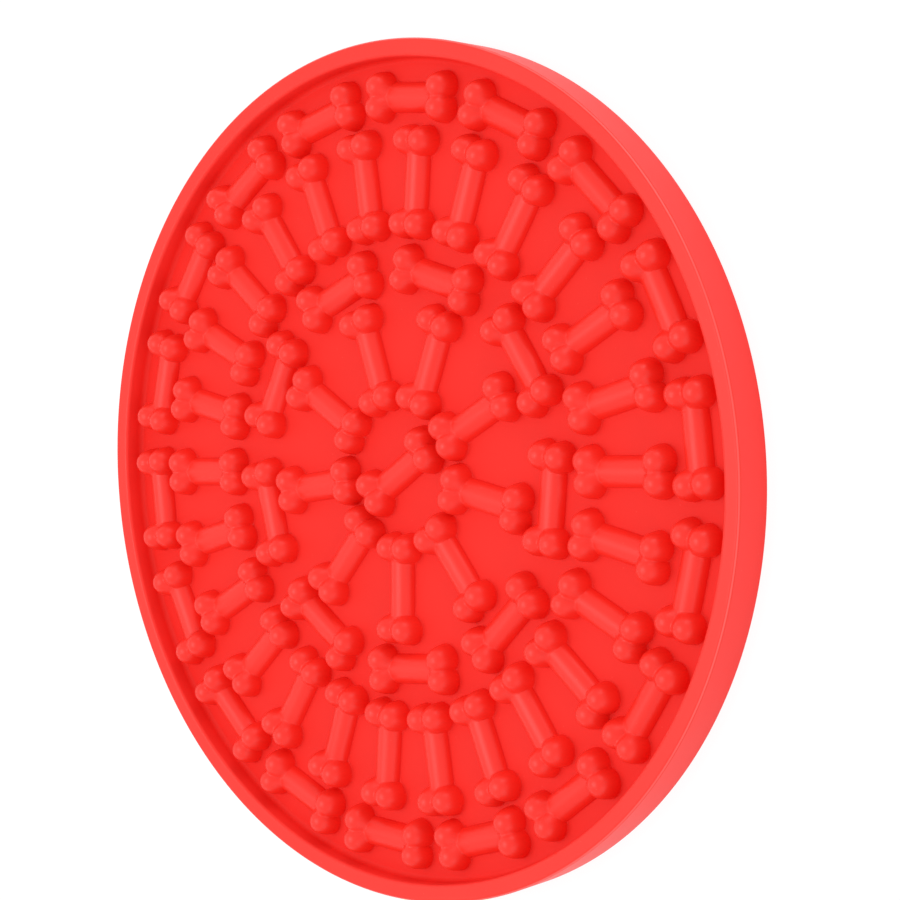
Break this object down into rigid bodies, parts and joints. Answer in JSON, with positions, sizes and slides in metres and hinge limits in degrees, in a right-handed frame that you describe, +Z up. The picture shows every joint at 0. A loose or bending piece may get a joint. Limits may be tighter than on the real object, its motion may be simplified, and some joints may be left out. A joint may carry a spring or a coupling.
{
  "type": "lick mat",
  "caption": "Round soft silicone lick mat: a shallow dish with a raised rim, rings of bone-shaped ridges on its floor, and suction cups recessed underneath.",
  "frame": {"origin": "centre of the mat, on the table under its foot ring", "axes": "+Z up out of the licking face, +X and +Y in the plane of the mat, +X along one spoke bone"},
  "size_m": [0.2, 0.2, 0.0114],
  "materials": {
    "silicone": "satin"
  },
  "bodies": {
    "root": {"dish_floor": "silicone", "rim_wall": "silicone", "outer_bone_01": "silicone", "outer_bone_02": "silicone", "outer_bone_03": "silicone", "outer_bone_04": "silicone", "outer_bone_05": "silicone", "outer_bone_06": "silicone", "outer_bone_07": "silicone", "outer_bone_08": "silicone", "outer_bone_09": "silicone", "outer_bone_10": "silicone", "outer_bone_11": "silicone", "outer_bone_12": "silicone", "outer_bone_13": "silicone", "outer_bone_14": "silicone", "outer_bone_15": "silicone", "outer_bone_16": "silicone", "outer_bone_17": "silicone", "outer_bone_18": "silicone", "spoke_bone_01": "silicone", "spoke_bone_02": "silicone", "spoke_bone_03": "silicone", "spoke_bone_04": "silicone", "spoke_bone_05": "silicone", "spoke_bone_06": "silicone", "spoke_bone_07": "silicone", "spoke_bone_08": "silicone", "spoke_bone_09": "silicone", "spoke_bone_10": "silicone", "spoke_bone_11": "silicone", "spoke_bone_12": "silicone", "spoke_bone_13": "silicone", "spoke_bone_14": "silicone", "spoke_bone_15": "silicone", "spoke_bone_16": "silicone", "spoke_bone_17": "silicone", "spoke_bone_18": "silicone", "spoke_bone_19": "silicone", "spoke_bone_20": "silicone", "spoke_bone_21": "silicone", "spoke_bone_22": "silicone", "spoke_bone_23": "silicone", "spoke_bone_24": "silicone", "spoke_bone_25": "silicone", "spoke_bone_26": "silicone", "inner_ring_bones": "silicone", "hub_bone_01": "silicone", "hub_bone_02": "silicone", "hub_bone_03": "silicone", "hub_bone_04": "silicone", "hub_bone_05": "silicone", "hub_bone_06": "silicone", "hub_bone_07": "silicone", "hub_bone_08": "silicone", "hub_bone_09": "silicone", "centre_bone": "silicone", "centre_suction_cup": "silicone", "near_suction_cups": "silicone", "far_suction_cups": "silicone"}
  },
  "joints": []
}
